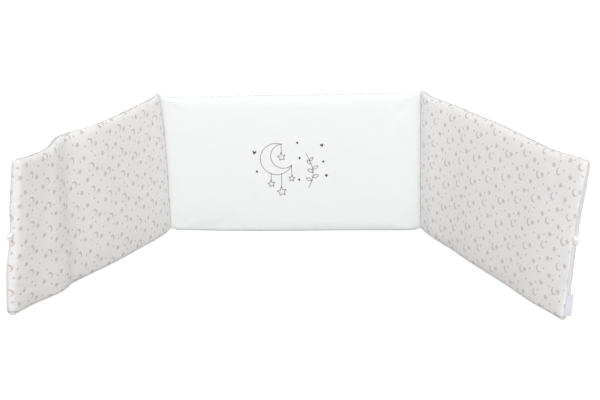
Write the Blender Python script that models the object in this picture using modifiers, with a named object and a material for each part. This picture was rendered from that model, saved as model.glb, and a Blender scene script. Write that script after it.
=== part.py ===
"""Crib bumper: three filled cloth pads sewn edge to edge, standing open on their lower edges.

Metres, +Z up. +X runs along the middle pad and the inside of the cot is towards -Y. The origin is on the
floor, under the middle of the middle pad.
"""
import math
from collections import namedtuple

import bmesh
import bpy
from mathutils import Matrix, Vector
from mathutils.bvhtree import BVHTree

# Driving dimensions.
PAD_LENGTH = 0.600            # one section, seam to seam
PAD_HEIGHT = 0.335
LEFT_TURN = math.radians(61.7)     # how far each side pad swings forward from the middle pad's line
RIGHT_TURN = math.radians(66.0)
SEAM_LINE = 0.0042            # how far the two upright seams stand behind the origin
GAP = 0.0003                  # between one piece and the next

# The filling: half thicknesses of a pad, measured from its middle layer.
SEAM_HALF = 0.0010            # where two pads are sewn together
RIM_HALF = 0.0072             # flat of the boxed top, bottom and outer edges
SHOULDER_HALF = 0.0116        # just inside an edge
CROWN = 0.0040                # extra fullness in the middle of a pad
TAPER = 0.045                 # length over which a pad thins towards a sewn end
FLOOR_SQUASH = 0.0021         # how far the filling is pressed flat by the floor

# The mesh cage: distances from an edge of the rings that shape it, and how the rest is divided.
BOXED_RINGS = (0.0, 0.009, 0.030)
SEWN_RINGS = (0.0, 0.008, 0.024)
ROW_RINGS = (0.0, 0.009, 0.030)
COLUMN_STEP = 0.046
FOLDED_COLUMN_STEP = 0.029       # closer where a pad is folded
ROW_STEP = 0.055

# The four upright lines of the bumper, left to right: how far the top of each leans from its foot.
Upright = namedtuple("Upright", "lean_x lean_y")
UPRIGHTS = {
    "outer_left": Upright(0.034, -0.032),
    "left_seam": Upright(-0.010, -0.006),
    "right_seam": Upright(-0.009, 0.003),
    "outer_right": Upright(0.032, 0.020),
}

# Soft folds: share of the length from the left end, push to the inside at the bottom and the top edge,
# and how far the fold reaches before and after that place, as shares of the length.
Fold = namedtuple("Fold", "along bottom top before after")
LEFT_FOLDS = (
    Fold(0.265, 0.010, -0.003, 0.100, 0.042),
    Fold(0.320, -0.002, -0.017, 0.060, 0.130),
    Fold(0.620, 0.006, 0.000, 0.200, 0.200),
    Fold(0.880, 0.005, 0.000, 0.080, 0.080),
)
MIDDLE_FOLDS = (Fold(0.360, 0.006, 0.000, 0.240, 0.240),)
RIGHT_FOLDS = (
    Fold(0.220, -0.004, -0.004, 0.120, 0.120),
    Fold(0.850, 0.005, 0.005, 0.120, 0.120),
)

# Outlines: share of the length, lift of the bottom edge and of the top edge.
Outline = namedtuple("Outline", "along bottom top")
LEFT_OUTLINE = (
    Outline(0.00, 0.000, 0.003),
    Outline(0.10, 0.000, 0.001),
    Outline(0.20, 0.000, -0.003),
    Outline(0.32, 0.000, 0.005),
    Outline(0.60, 0.000, 0.000),
    Outline(0.95, 0.000, 0.000),
    Outline(1.00, 0.004, 0.004),
)
MIDDLE_OUTLINE = (
    Outline(0.00, 0.004, 0.004),
    Outline(0.04, 0.000, -0.006),
    Outline(0.50, 0.000, -0.001),
    Outline(0.96, 0.000, 0.003),
    Outline(1.00, 0.005, 0.010),
)
RIGHT_OUTLINE = (
    Outline(0.00, 0.005, 0.010),
    Outline(0.07, 0.005, 0.003),
    Outline(0.20, 0.000, 0.002),
    Outline(0.45, 0.000, 0.001),
    Outline(0.80, 0.000, -0.007),
    Outline(1.00, 0.000, -0.003),
)

# Outer ends: share of the height, how far the end stands out there, and how far the seam round the end
# lies in front of the pad's middle layer.
EndShape = namedtuple("EndShape", "height out seam")
LEFT_END = (
    EndShape(0.00, 0.003, 0.000),
    EndShape(0.30, 0.004, 0.000),
    EndShape(0.52, -0.002, 0.000),
    EndShape(1.00, 0.001, 0.000),
)
RIGHT_END = (
    EndShape(0.00, 0.002, 0.0045),
    EndShape(0.25, 0.004, 0.0045),
    EndShape(0.50, -0.002, 0.0020),
    EndShape(0.85, 0.002, 0.0000),
    EndShape(1.00, 0.002, 0.0000),
)

# The ties: doubled cotton tape sewn into the outer end seams at mid height and knotted against the pad.
TAPE_WIDTH = 0.010
TAPE_THICKNESS = 0.0012
KNOT_OUT = 0.0110             # size of a knot away from the pad's end
KNOT_ACROSS = 0.0150          # from the front of the pad to its back
KNOT_TALL = 0.0170
KNOT_SHIFT = -0.0015          # from the seam towards the back
ROOT_GAP = 0.0007             # from the seam, which the end's slope narrows to about GAP
TAIL_LENGTH = 0.045           # of each free end, folded out of sight behind the pad
TAIL_ROUND = 0.016            # of it, the part that bends round the end of the pad
TAIL_START = math.radians(12)      # where that bend begins, from straight out of the end
TAIL_PIVOT = 0.014            # depth below the end of the line it bends about
TAIL_STEPS = 14
Tail = namedtuple("Tail", "shift slope clear")    # first height on the knot, rise along, middle to cover
TAILS = (Tail(0.003, 0.30, 0.0020), Tail(-0.003, -0.42, 0.0027))
Tie = namedtuple("Tie", "name height")
TIE_LEFT = Tie("tie_left", 0.522)
TIE_RIGHT = Tie("tie_right", 0.512)

# The care label: a woven strip folded in two, caught in the right outer seam and turned to the back.
LABEL_TALL = 0.046
LABEL_FOOT = 0.012            # from the floor to its lower edge
LABEL_THICKNESS = 0.0009
LABEL_ROWS = 5
LabelBend = namedtuple("LabelBend", "out back")
LABEL_BENDS = (
    LabelBend(0.0006, 0.0000),
    LabelBend(0.0020, 0.0001),
    LabelBend(0.0032, 0.0011),
    LabelBend(0.0041, 0.0040),
    LabelBend(0.0050, 0.0085),
    LabelBend(0.0060, 0.0135),
)

Pad = namedtuple("Pad", "name foot_start foot_end lean_start lean_end start end folds outline step cloth")


def smooth_step(share):
    """An even S from 0 to 1."""
    share = min(1.0, max(0.0, share))
    return share * share * (3.0 - 2.0 * share)


def from_rows(rows, place, column):
    """A column of a table at a place between two rows, eased from row to row."""
    if place <= rows[0][0]:
        return getattr(rows[0], column)
    for low, high in zip(rows, rows[1:]):
        if place <= high[0]:
            share = smooth_step((place - low[0]) / (high[0] - low[0]))
            start = getattr(low, column)
            return start + (getattr(high, column) - start) * share
    return getattr(rows[-1], column)


def plan_feet():
    """The four feet of the upright lines on the floor."""
    left_seam = Vector((-PAD_LENGTH / 2, SEAM_LINE, 0.0))
    right_seam = Vector((PAD_LENGTH / 2, SEAM_LINE, 0.0))
    left_way = Vector((math.cos(LEFT_TURN), math.sin(LEFT_TURN), 0.0))
    right_way = Vector((math.cos(RIGHT_TURN), -math.sin(RIGHT_TURN), 0.0))
    return {
        "outer_left": left_seam - left_way * PAD_LENGTH,
        "left_seam": left_seam,
        "right_seam": right_seam,
        "outer_right": right_seam + right_way * PAD_LENGTH,
    }


def inside_of(start, end):
    """Level unit vector from a pad's middle layer to the inside of the cot."""
    way = (end - start).normalized()
    return Vector((way.y, -way.x, 0.0))


def rings(low_rings, high_rings, length, pitch):
    """Distances from the low edge: rings by the low edge, even steps between, rings by the high edge."""
    first = low_rings[-1]
    last = length - high_rings[-1]
    steps = round((last - first) / pitch)
    middle = [first + (last - first) * i / steps for i in range(1, steps)]
    return list(low_rings) + middle + [length - ring for ring in reversed(high_rings)]


def fullness(distance, length):
    """How full the filling is between two edges, 0 at an edge and 1 in the middle."""
    return 1.0 - abs(2.0 * distance / length - 1.0) ** 2.5


def half_thickness(along, up, sewn_start, sewn_end):
    """Half the thickness of a pad at a distance along it and up it."""
    on_rim = min(along, PAD_LENGTH - along, up, PAD_HEIGHT - up) < GAP
    half = RIM_HALF if on_rim else SHOULDER_HALF
    half += CROWN * fullness(along, PAD_LENGTH) * fullness(up, PAD_HEIGHT)
    for sewn, distance in ((sewn_start, along), (sewn_end, PAD_LENGTH - along)):
        if sewn and distance < TAPER:
            share = math.sin(0.5 * math.pi * distance / TAPER)
            half = SEAM_HALF + (half - SEAM_HALF) * share
    return half


def pad_point(pad, along, up):
    """A point of a pad's middle layer, at a distance along it and up it."""
    share = along / PAD_LENGTH
    height = up / PAD_HEIGHT
    foot = pad.foot_start.lerp(pad.foot_end, share)
    lean = pad.lean_start.lerp(pad.lean_end, share)
    rise = math.sqrt(PAD_HEIGHT ** 2 - lean.length_squared)
    lift_low = from_rows(pad.outline, share, "bottom")
    lift_high = from_rows(pad.outline, share, "top")
    point = foot + lean * height
    point.z = rise * height + lift_low + (lift_high - lift_low) * height
    point.z -= FLOOR_SQUASH * (1.0 - height)
    way = (pad.foot_end - pad.foot_start).normalized()
    for shape, sign, nearness in ((pad.start, -1.0, 1.0 - share), (pad.end, 1.0, share)):
        if shape:
            point += way * (sign * from_rows(shape, height, "out") * nearness ** 6)
    push = 0.0
    for fold in pad.folds:
        depth = fold.bottom + (fold.top - fold.bottom) * height
        reach = fold.before if share < fold.along else fold.after
        push += depth * math.exp(-((share - fold.along) / reach) ** 2)
    still = min(1.0, 4.0 * share, 4.0 * (1.0 - share))
    return point + inside_of(pad.foot_start, pad.foot_end) * (push * smooth_step(still))


def seam_across(pad, share, other_inside):
    """The way across a pad's edge: square to it, or half way to its neighbour where two pads meet."""
    own = inside_of(pad.foot_start, pad.foot_end)
    if other_inside is None:
        return own
    half_way = (own + other_inside).normalized()
    return half_way if share < GAP else own


def grid_faces(front, back):
    """Faces of the closed cage between a front and a back grid of vertices."""
    faces = []
    columns = len(front)
    rows = len(front[0])
    for i in range(columns - 1):
        for j in range(rows - 1):
            faces.append((front[i][j], front[i + 1][j], front[i + 1][j + 1], front[i][j + 1]))
            faces.append((back[i][j], back[i][j + 1], back[i + 1][j + 1], back[i + 1][j]))
    for i in range(columns - 1):
        for j in (0, rows - 1):
            faces.append((front[i][j], back[i][j], back[i + 1][j], front[i + 1][j]))
    for j in range(rows - 1):
        for i in (0, columns - 1):
            faces.append((front[i][j], front[i][j + 1], back[i][j + 1], back[i][j]))
    return faces


def pad_cage(pad, start_neighbour, end_neighbour):
    """The coarse cage of one pad. A neighbour is the inside direction of the pad sewn to that end."""
    sewn_start = start_neighbour is not None
    sewn_end = end_neighbour is not None
    columns = rings(SEWN_RINGS if sewn_start else BOXED_RINGS,
                    SEWN_RINGS if sewn_end else BOXED_RINGS, PAD_LENGTH, pad.step)
    rows = rings(ROW_RINGS, ROW_RINGS, PAD_HEIGHT, ROW_STEP)
    way = (pad.foot_end - pad.foot_start).normalized()
    mesh = bmesh.new()
    crease = mesh.edges.layers.float.new("crease_edge")
    front = []
    back = []
    for along in columns:
        neighbour = start_neighbour if along < PAD_LENGTH / 2 else end_neighbour
        from_end = min(along, PAD_LENGTH - along)
        across = seam_across(pad, from_end, neighbour)
        shift = Vector()
        if sewn_start and along < GAP:
            shift = way * (GAP / 2 / way.dot(seam_plane(pad, neighbour)))
        if sewn_end and PAD_LENGTH - along < GAP:
            shift = -way * (GAP / 2 / way.dot(seam_plane(pad, neighbour)))
        front_column = []
        back_column = []
        for up in rows:
            centre = pad_point(pad, along, up) + shift
            half = half_thickness(along, up, sewn_start, sewn_end)
            front_column.append(mesh.verts.new(centre + across * half))
            back_column.append(mesh.verts.new(centre - across * half))
        front.append(front_column)
        back.append(back_column)
    for corners in grid_faces(front, back):
        mesh.faces.new(corners)
    for sewn, i in ((sewn_start, 0), (sewn_end, len(columns) - 1)):
        if sewn:
            crease_loop(mesh, crease, front[i], back[i])
    bmesh.ops.recalc_face_normals(mesh, faces=mesh.faces)
    return mesh


def seam_plane(pad, other_inside):
    """Unit vector along the bumper, square to the plane where two pads meet."""
    half_way = (inside_of(pad.foot_start, pad.foot_end) + other_inside).normalized()
    return Vector((-half_way.y, half_way.x, 0.0))


def crease_loop(mesh, crease, front_column, back_column):
    """Keeps a sewn end straight: creases both its long edges and its two short ones."""
    ends = [(front_column[0], back_column[0]), (front_column[-1], back_column[-1])]
    for column in (front_column, back_column):
        ends.extend(zip(column, column[1:]))
    for first, second in ends:
        edge = mesh.edges.get((first, second))
        edge[crease] = 1.0


def cloth_material(name, colour, roughness):
    """Plain matt cloth."""
    material = bpy.data.materials.new(name)
    material.use_nodes = True
    shader = material.node_tree.nodes["Principled BSDF"]
    shader.inputs["Base Color"].default_value = (*colour, 1.0)
    shader.inputs["Roughness"].default_value = roughness
    shader.inputs["Metallic"].default_value = 0.0
    return material


def add_object(name, mesh, material, collection):
    """Turns a bmesh into a smooth shaded object."""
    data = bpy.data.meshes.new(name)
    mesh.to_mesh(data)
    mesh.free()
    if material:
        data.materials.append(material)
    data.shade_smooth()
    thing = bpy.data.objects.new(name, data)
    collection.objects.link(thing)
    return thing


def soften(thing):
    """Rounds a cage with one subdivision and keeps the result as the object's own mesh."""
    modifier = thing.modifiers.new("filling", "SUBSURF")
    modifier.levels = 1
    modifier.render_levels = 1
    bpy.context.view_layer.update()
    rounded = bpy.data.meshes.new_from_object(thing.evaluated_get(bpy.context.evaluated_depsgraph_get()))
    thing.modifiers.clear()
    coarse = thing.data
    thing.data = rounded
    bpy.data.meshes.remove(coarse)
    thing.data.name = thing.name


def stand_on_floor(thing):
    """Presses the filling flat where it would sink below the floor."""
    for vertex in thing.data.vertices:
        vertex.co.z = max(0.0, vertex.co.z)


def make_pads(collection):
    """The three pads, sewn end to end."""
    feet = plan_feet()
    lean = {name: Vector((row.lean_x, row.lean_y, 0.0)) for name, row in UPRIGHTS.items()}
    printed = cloth_material("printed_percale", (0.80, 0.78, 0.76), 0.85)
    plain = cloth_material("white_percale", (0.88, 0.89, 0.89), 0.85)
    pads = (
        Pad("pad_left", feet["outer_left"], feet["left_seam"], lean["outer_left"], lean["left_seam"],
            LEFT_END, None, LEFT_FOLDS, LEFT_OUTLINE, FOLDED_COLUMN_STEP, printed),
        Pad("pad_middle", feet["left_seam"], feet["right_seam"], lean["left_seam"], lean["right_seam"],
            None, None, MIDDLE_FOLDS, MIDDLE_OUTLINE, COLUMN_STEP, plain),
        Pad("pad_right", feet["right_seam"], feet["outer_right"], lean["right_seam"], lean["outer_right"],
            None, RIGHT_END, RIGHT_FOLDS, RIGHT_OUTLINE, COLUMN_STEP, printed),
    )
    insides = [inside_of(pad.foot_start, pad.foot_end) for pad in pads]
    made = []
    for i, pad in enumerate(pads):
        before = insides[i - 1] if i > 0 else None
        after = insides[i + 1] if i + 1 < len(pads) else None
        thing = add_object(pad.name, pad_cage(pad, before, after), pad.cloth, collection)
        soften(thing)
        stand_on_floor(thing)
        made.append(thing)
    return pads, made


def cover_tree(thing):
    """The pad's cover as a tree that tells where a line or a point meets it."""
    corners = [vertex.co.copy() for vertex in thing.data.vertices]
    return BVHTree.FromPolygons(corners, [tuple(face.vertices) for face in thing.data.polygons])


def end_frame(pad, at_start):
    """Ways out of a pad's outer end and to its back, and how far along the pad the end is."""
    way = (pad.foot_end - pad.foot_start).normalized()
    out = -way if at_start else way
    return out, -inside_of(pad.foot_start, pad.foot_end), 0.0 if at_start else PAD_LENGTH


def end_seat(tree, pad, along, out, up):
    """The place on the seam of a pad's outer end at a height."""
    reach = 0.050
    seam = from_rows(pad.start or pad.end, up / PAD_HEIGHT, "seam")
    line = pad_point(pad, along, up) + inside_of(pad.foot_start, pad.foot_end) * seam
    return tree.ray_cast(line + out * reach, -out)[0]


def tape(name, centres, acrosses, thickness, collection):
    """A flat strip through a row of centres, as wide as each way across is long."""
    mesh = bmesh.new()
    edges = []
    for centre, across in zip(centres, acrosses):
        edges.append((mesh.verts.new(centre - across / 2), mesh.verts.new(centre + across / 2)))
    for (low, high), (next_low, next_high) in zip(edges, edges[1:]):
        mesh.faces.new((low, next_low, next_high, high))
    strip = add_object(name, mesh, None, collection)
    wall = strip.modifiers.new("thickness", "SOLIDIFY")
    wall.thickness = thickness
    wall.offset = 0.0
    return strip


def tail_strip(name, tree, pivot, out, back, tail, collection):
    """A tie's free end, laid round the back edge of the pad's end and on along its back."""
    reach = 0.060
    centres = []
    acrosses = []
    for i in range(TAIL_STEPS + 1):
        run = TAIL_LENGTH * i / TAIL_STEPS
        turn = min(1.0, run / TAIL_ROUND) * (0.5 * math.pi - TAIL_START) + TAIL_START
        facing = out * math.cos(turn) + back * math.sin(turn)
        target = pivot - out * max(0.0, run - TAIL_ROUND)
        target.z += tail.shift + tail.slope * run
        place = tree.ray_cast(target + facing * reach, -facing)[0]
        centres.append(place + facing * tail.clear)
        along = back * math.cos(turn) - out * math.sin(turn) + Vector((0.0, 0.0, tail.slope))
        acrosses.append(facing.cross(along).normalized() * TAPE_WIDTH)
    return tape(name, centres, acrosses, TAPE_THICKNESS, collection)


def join_with(thing, other):
    """Fuses another object into a thing."""
    union = thing.modifiers.new("join", "BOOLEAN")
    union.operation = "UNION"
    union.object = other
    union.use_self = True
    bpy.context.view_layer.update()
    joined = bpy.data.meshes.new_from_object(thing.evaluated_get(bpy.context.evaluated_depsgraph_get()))
    thing.modifiers.clear()
    thing.data = joined
    bpy.data.objects.remove(other)


def make_knot(name, centre, axes, material, collection):
    """A rounded knot, with its three whole widths given by its axes."""
    placed = Matrix.Translation(centre) @ Matrix(axes).transposed().to_4x4()
    mesh = bmesh.new()
    bmesh.ops.create_uvsphere(mesh, u_segments=14, v_segments=9, radius=0.5)
    bmesh.ops.transform(mesh, matrix=placed, verts=mesh.verts)
    bmesh.ops.recalc_face_normals(mesh, faces=mesh.faces)
    return add_object(name, mesh, material, collection)


def make_tie(tie, pad, cover, at_start, material, collection):
    """One knotted tie: its root in the seam, its knot and its two tails, as one solid."""
    tree = cover_tree(cover)
    out, back, along = end_frame(pad, at_start)
    height = tie.height * PAD_HEIGHT
    seat = end_seat(tree, pad, along, out, height)
    above = end_seat(tree, pad, along, out, height + TAPE_WIDTH)
    seam = (above - seat).normalized()
    centre = seat + out * (ROOT_GAP + KNOT_OUT / 2) + back * KNOT_SHIFT
    axes = (out * KNOT_OUT, back * KNOT_ACROSS, seam * KNOT_TALL)
    knot = make_knot(tie.name, centre, axes, material, collection)
    foot = seat + out * ROOT_GAP
    root = tape(tie.name + "_root", (foot, foot + out * KNOT_OUT / 2), (seam * TAPE_WIDTH,) * 2,
                2 * TAPE_THICKNESS, collection)
    join_with(knot, root)
    pivot = seat - out * TAIL_PIVOT
    for i, tail in enumerate(TAILS):
        strip = tail_strip(f"{tie.name}_tail_{i}", tree, pivot, out, back, tail, collection)
        join_with(knot, strip)


def make_label(pad, cover, material, collection):
    """The folded label, following the seam that it is caught in."""
    tree = cover_tree(cover)
    out, back, along = end_frame(pad, False)
    mesh = bmesh.new()
    rows = []
    for i in range(LABEL_ROWS):
        up = LABEL_FOOT + LABEL_TALL * i / (LABEL_ROWS - 1)
        seat = end_seat(tree, pad, along, out, up)
        rows.append([mesh.verts.new(seat + out * bend.out + back * bend.back) for bend in LABEL_BENDS])
    for low, high in zip(rows, rows[1:]):
        for i in range(len(low) - 1):
            mesh.faces.new((low[i], low[i + 1], high[i + 1], high[i]))
    label = add_object("label", mesh, material, collection)
    wall = label.modifiers.new("thickness", "SOLIDIFY")
    wall.thickness = LABEL_THICKNESS
    wall.offset = 0.0


def main():
    for thing in list(bpy.data.objects):
        bpy.data.objects.remove(thing)
    collection = bpy.data.collections.new("crib_bumper")
    bpy.context.scene.collection.children.link(collection)
    pads, covers = make_pads(collection)
    cotton_tape = cloth_material("cotton_tape", (0.90, 0.90, 0.89), 0.80)
    woven_satin = cloth_material("woven_satin", (0.85, 0.84, 0.87), 0.55)
    make_tie(TIE_LEFT, pads[0], covers[0], True, cotton_tape, collection)
    make_tie(TIE_RIGHT, pads[2], covers[2], False, cotton_tape, collection)
    make_label(pads[2], covers[2], woven_satin, collection)


main()
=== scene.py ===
import math
from collections import namedtuple

import bmesh
import bpy
from mathutils import Matrix, Vector, noise
from mathutils.bvhtree import BVHTree


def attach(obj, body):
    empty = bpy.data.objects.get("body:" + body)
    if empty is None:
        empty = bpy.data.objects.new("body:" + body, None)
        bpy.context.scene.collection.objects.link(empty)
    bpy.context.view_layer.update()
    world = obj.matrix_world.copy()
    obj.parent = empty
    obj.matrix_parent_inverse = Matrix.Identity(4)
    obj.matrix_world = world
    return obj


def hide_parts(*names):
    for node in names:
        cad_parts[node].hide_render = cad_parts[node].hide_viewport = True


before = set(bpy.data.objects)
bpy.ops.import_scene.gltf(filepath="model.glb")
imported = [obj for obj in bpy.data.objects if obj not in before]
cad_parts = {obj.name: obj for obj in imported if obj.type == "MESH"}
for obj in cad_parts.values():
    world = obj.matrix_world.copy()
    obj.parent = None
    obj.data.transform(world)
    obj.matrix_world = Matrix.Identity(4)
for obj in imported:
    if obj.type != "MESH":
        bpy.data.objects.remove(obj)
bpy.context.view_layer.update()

# ---------------------------------------------------------------------------------------------------------
# The viewpoint: a long lens well in front of the open side of the bumper, looking down on it a little, so
# that the insides of all three sections show.
CAMERA_PLACE = Vector((-0.0026, -3.1359, 1.1063))
CAMERA_DOWN = math.radians(18.187)
CAMERA_TURN = math.radians(-0.230)
CAMERA_ROLL = math.radians(0.137)
LENS_MM = 83.2
SENSOR_MM = 36.0


def add_object(name, data):
    """An object in the scene for a camera, light, mesh or curve."""
    made = bpy.data.objects.new(name, data)
    bpy.context.scene.collection.objects.link(made)
    return made


camera_data = bpy.data.cameras.new("camera")
camera_data.lens = LENS_MM
camera_data.sensor_width = SENSOR_MM
camera = add_object("camera", camera_data)
camera.matrix_world = (
    Matrix.Translation(CAMERA_PLACE)
    @ Matrix.Rotation(CAMERA_TURN, 4, "Z")
    @ Matrix.Rotation(math.pi / 2 - CAMERA_DOWN, 4, "X")
    @ Matrix.Rotation(CAMERA_ROLL, 4, "Z")
)
bpy.context.scene.camera = camera

# ---------------------------------------------------------------------------------------------------------
# The studio: a pale floor that runs out of view, lit through from below like a light table, a white card
# under it that sends up only as much light as plain paper would, an even surround, and two broad, low
# lights, a stronger one from the camera's side and a weaker one from behind.
FLOOR_SIZE = 24.0
FLOOR_HEX = "F4F4F4"
FLOOR_GLOW = 0.45
CARD_HEX = "B4B4B4"
CARD_DEPTH = 0.002
SURROUND_STRENGTH = 0.83
# Each light's turn round the object from the camera's side, its height and how wide it looks, in degrees,
# and what it gives, in watts to a square metre.
Light = namedtuple("Light", "name turn height spread strength")
LIGHTS = (
    Light("front_light", 2.0, 16.0, 55.0, 1.34),
    Light("back_light", 180.0, 12.0, 60.0, 0.50),
)


def from_hex(text):
    """A colour written as sRGB hex, as the linear red, green, blue and alpha that sockets take."""
    parts = [int(text[i:i + 2], 16) / 255 for i in (0, 2, 4)]
    linear = [part / 12.92 if part <= 0.04045 else ((part + 0.055) / 1.055) ** 2.4 for part in parts]
    return (*linear, 1.0)


def new_material(name, sockets):
    """A node material with values set on its Principled shader's own sockets, its tree and that shader."""
    material = bpy.data.materials.new(name)
    material.use_nodes = True
    shader = material.node_tree.nodes["Principled BSDF"]
    for socket, value in sockets.items():
        shader.inputs[socket].default_value = value
    return material, material.node_tree, shader


def add_piece(name, mesh, materials):
    """A smooth shaded object for a bmesh."""
    data = bpy.data.meshes.new(name)
    mesh.to_mesh(data)
    mesh.free()
    for material in materials:
        data.materials.append(material)
    data.shade_smooth()
    return add_object(name, data)


def add_floor(name, material, depth):
    """A level sheet under the object."""
    mesh = bmesh.new()
    bmesh.ops.create_grid(mesh, x_segments=1, y_segments=1, size=FLOOR_SIZE / 2)
    bmesh.ops.translate(mesh, vec=(0.0, 0.0, -depth), verts=mesh.verts)
    sheet = add_piece(name, mesh, [material])
    return sheet


# Opal acrylic sheet, lit through: a matt, even, pale ground. The card is plain uncoated board, dull white.
acrylic, _, _ = new_material("opal_acrylic", {
    "Base Color": from_hex(FLOOR_HEX), "Roughness": 0.95, "Specular IOR Level": 0.1,
    "Emission Color": from_hex("FFFFFF"), "Emission Strength": FLOOR_GLOW})
card_paper, _, _ = new_material("white_card", {"Base Color": from_hex(CARD_HEX), "Roughness": 0.95})
table = add_floor("floor", acrylic, 0.0)
table.visible_diffuse = False
table.visible_glossy = False
table.visible_shadow = False
card = add_floor("card", card_paper, CARD_DEPTH)
card.visible_camera = False
for row in LIGHTS:
    light_data = bpy.data.lights.new(row.name, "SUN")
    light_data.angle = math.radians(row.spread)
    light_data.energy = row.strength
    light = add_object(row.name, light_data)
    light.rotation_euler = (math.radians(90.0 - row.height), 0.0, math.radians(row.turn))
world = bpy.data.worlds.new("surround")
world.use_nodes = True
surround = world.node_tree.nodes["Background"]
surround.inputs["Color"].default_value = from_hex("FFFFFF")
surround.inputs["Strength"].default_value = SURROUND_STRENGTH
bpy.context.scene.world = world
bpy.context.scene.view_settings.view_transform = "Standard"

# ---------------------------------------------------------------------------------------------------------
# The three pads: each a front and a back cover of cotton percale, sewn together right side in, turned and
# filled with polyester wadding. The top, bottom and outer edges end in one seam at mid thickness, and the
# pads are drawn thin where one is sewn to the next.
PAD_LENGTH = 0.600
PAD_HEIGHT = 0.335
LEFT_TURN = math.radians(61.7)
RIGHT_TURN = math.radians(66.0)
SEAM_LINE = 0.0042  # how far the two upright seams stand behind the origin
GAP = 0.0003  # between two pads
SEAM_HALF = 0.0010  # half thickness where two pads are sewn together
PAD_HALF = 0.0116  # half thickness just inside an edge
CROWN = 0.0040  # extra fullness in the middle
FILL_POWER = 2.5  # how late the fullness falls off towards an edge
TAPER = 0.045  # length over which a pad thins towards a sewn end
FLOOR_SQUASH = 0.0021  # how far the filling is pressed flat by the floor
EDGE_ROUND = 0.0125  # from an edge seam to the flat of a pad
EDGE_STEPS = 4
SEWN_PLACES = (0.0, 0.003, 0.0075)  # of the first points in from a sewn end
CORNER_PATCH = 0.018  # how far plain white cloth reaches round the bottom outer corners, and up
CORNER_PATCH_UP = 0.0125
CLOTH_STEP = 0.0056  # spacing of the cloth's points
EAR_RISE = 5  # powers that keep a seam's ear to its top, and to the cloth beside it
EAR_SPREAD = 10
END_SPREAD = 6  # the power that keeps an outer end's bow near that end
STILL_SHARE = 0.25  # of a pad's length at either end, over which its folds run out

# Along and height are shares of a pad's length and height, and so is a fold's reach before and after it.
Upright = namedtuple("Upright", "foot lean ear")  # lean: of its top from its foot; ear: its top's pull in x
Fold = namedtuple("Fold", "along bottom top before after")
Outline = namedtuple("Outline", "along bottom top")
EndShape = namedtuple("EndShape", "height out seam")  # seam: how far it lies in front of the middle
Corners = namedtuple("Corners", "bottom top")  # radii of the outline's outer corners
Pad = namedtuple("Pad", "name start end start_shape end_shape folds outline corners")

LEFT_SEAM = Upright(Vector((-PAD_LENGTH / 2, SEAM_LINE, 0.0)), Vector((-0.010, -0.006, 0.0)), -0.011)
RIGHT_SEAM = Upright(Vector((PAD_LENGTH / 2, SEAM_LINE, 0.0)), Vector((-0.009, 0.003, 0.0)), 0.001)
OUTER_LEFT = Upright(
    LEFT_SEAM.foot - PAD_LENGTH * Vector((math.cos(LEFT_TURN), math.sin(LEFT_TURN), 0.0)),
    Vector((0.034, -0.032, 0.0)), 0.0)
OUTER_RIGHT = Upright(
    RIGHT_SEAM.foot + PAD_LENGTH * Vector((math.cos(RIGHT_TURN), -math.sin(RIGHT_TURN), 0.0)),
    Vector((0.032, 0.020, 0.0)), 0.0)
PADS = (
    Pad("pad_left", OUTER_LEFT, LEFT_SEAM,
        (EndShape(0.00, 0.002, -0.0005), EndShape(0.14, 0.003, -0.0030), EndShape(0.30, 0.002, -0.0075),
         EndShape(0.52, -0.005, -0.0055), EndShape(0.70, -0.0045, -0.0085),
         EndShape(1.00, -0.0070, -0.0070)), None,
        (Fold(0.265, 0.010, -0.003, 0.115, 0.058), Fold(0.330, -0.002, -0.0175, 0.082, 0.125),
         Fold(0.620, 0.006, 0.000, 0.200, 0.200), Fold(0.880, 0.005, 0.000, 0.080, 0.080)),
        (Outline(0.00, 0.000, 0.006), Outline(0.10, 0.000, 0.001), Outline(0.20, 0.000, -0.003),
         Outline(0.32, 0.000, 0.0035), Outline(0.60, 0.000, 0.000), Outline(0.95, 0.000, 0.000),
         Outline(1.00, 0.004, 0.004)), Corners(0.016, 0.005)),
    Pad("pad_middle", LEFT_SEAM, RIGHT_SEAM, None, None,
        (Fold(0.360, 0.006, 0.000, 0.240, 0.240),),
        (Outline(0.00, 0.004, 0.004), Outline(0.04, 0.000, -0.006), Outline(0.50, 0.000, -0.001),
         Outline(0.96, 0.000, 0.003), Outline(1.00, 0.005, 0.010)), Corners(0.0, 0.0)),
    Pad("pad_right", RIGHT_SEAM, OUTER_RIGHT, None,
        (EndShape(0.00, 0.002, 0.0045), EndShape(0.14, 0.003, 0.0055), EndShape(0.27, 0.0015, 0.0095),
         EndShape(0.42, -0.001, 0.0090), EndShape(0.514, -0.004, 0.0040), EndShape(0.62, -0.002, 0.0085),
         EndShape(0.85, 0.001, 0.0040), EndShape(1.00, 0.001, 0.0)),
        (Fold(0.220, -0.004, -0.004, 0.120, 0.120), Fold(0.850, 0.005, 0.005, 0.120, 0.120)),
        (Outline(0.00, 0.005, 0.010), Outline(0.07, 0.005, 0.003), Outline(0.20, 0.000, 0.002),
         Outline(0.45, 0.000, 0.001), Outline(0.80, 0.000, -0.007), Outline(1.00, 0.000, -0.003)),
        Corners(0.006, 0.006)),
)


def smooth_step(share):
    """An even S from 0 to 1."""
    share = min(1.0, max(0.0, share))
    return share * share * (3.0 - 2.0 * share)


def from_rows(rows, place, column):
    """A column of a table at a place between two rows, eased from row to row."""
    if place <= rows[0][0]:
        return getattr(rows[0], column)
    for low, high in zip(rows, rows[1:]):
        if place <= high[0]:
            share = smooth_step((place - low[0]) / (high[0] - low[0]))
            start = getattr(low, column)
            return start + (getattr(high, column) - start) * share
    return getattr(rows[-1], column)


def pad_ways(pad):
    """Unit vectors along a pad and from it to the inside of the cot."""
    way = (pad.end.foot - pad.start.foot).normalized()
    return way, Vector((way.y, -way.x, 0.0))


def fullness(distance, length):
    """How full the filling is between two edges, 0 at an edge and 1 in the middle."""
    return 1.0 - abs(2.0 * distance / length - 1.0) ** FILL_POWER


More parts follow.
